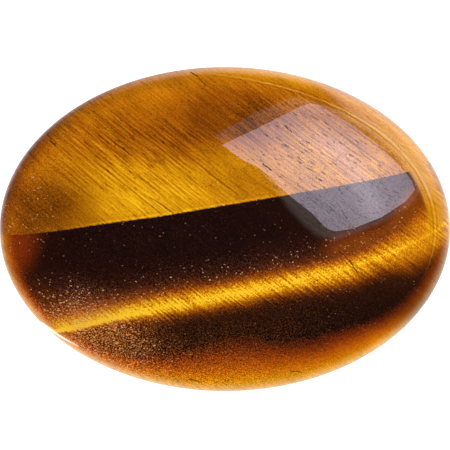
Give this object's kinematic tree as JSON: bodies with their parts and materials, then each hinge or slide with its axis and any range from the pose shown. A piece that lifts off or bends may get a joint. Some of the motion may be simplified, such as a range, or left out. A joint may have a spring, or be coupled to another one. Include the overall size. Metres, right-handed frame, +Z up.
{
  "type": "polished tiger's eye cabochon",
  "caption": "Polished oval tiger's eye gemstone: low domed top with silky gold bands across dark brown, thin girdle, and a flat ground back to rest or glue it on.",
  "frame": {"origin": "centre of the flat back, which is also the centre of the foot of the part's box", "axes": "+X along the longest side of the oval, +Y along its shorter side, +Z up from the flat back through the dome"},
  "size_m": [0.025, 0.018, 0.0062],
  "materials": {
    "tigers_eye": "high polish on the dome and girdle, silky fibrous gold and dark brown bands inside, fine ground back"
  },
  "bodies": {
    "root": {"cabochon": "tigers_eye"}
  },
  "joints": []
}
